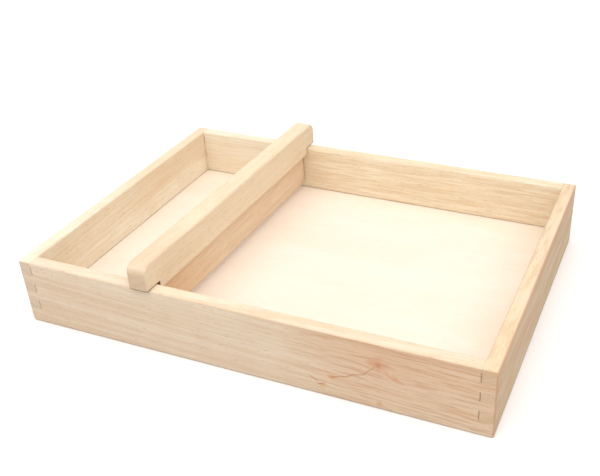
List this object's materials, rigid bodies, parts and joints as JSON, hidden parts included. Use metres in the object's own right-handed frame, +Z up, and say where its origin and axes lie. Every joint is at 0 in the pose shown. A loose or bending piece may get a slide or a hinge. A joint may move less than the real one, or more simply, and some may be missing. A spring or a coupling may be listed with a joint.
{
  "type": "tray with levelling bar",
  "caption": "Shallow wooden tray with finger-jointed corners and a thin plywood floor, and a notched bar with a blade that slides along the rims to level or divide what the tray holds.",
  "frame": {"origin": "middle of the tray's underside, on the surface that the tray stands on", "axes": "+X along the long front wall from left to right, +Y from the front wall to the rear wall, +Z up"},
  "size_m": [0.43, 0.3146, 0.0875],
  "materials": {
    "tray_wood": "bare, sanded pale hardwood",
    "floor_plywood": "bare, sanded, very pale plywood",
    "leveller_wood": "bare, sanded pale hardwood"
  },
  "bodies": {
    "tray": {"front_wall": "tray_wood", "rear_wall": "tray_wood", "left_wall": "tray_wood", "right_wall": "tray_wood", "floor_panel": "floor_plywood"},
    "leveller": {"leveller_rail": "leveller_wood", "leveller_blade": "leveller_wood"}
  },
  "joints": [
    {"name": "leveller_slide", "type": "slide", "parent": "tray", "child": "leveller", "axis": [1, 0, 0], "range_m": [-0.107, 0.275]}
  ]
}
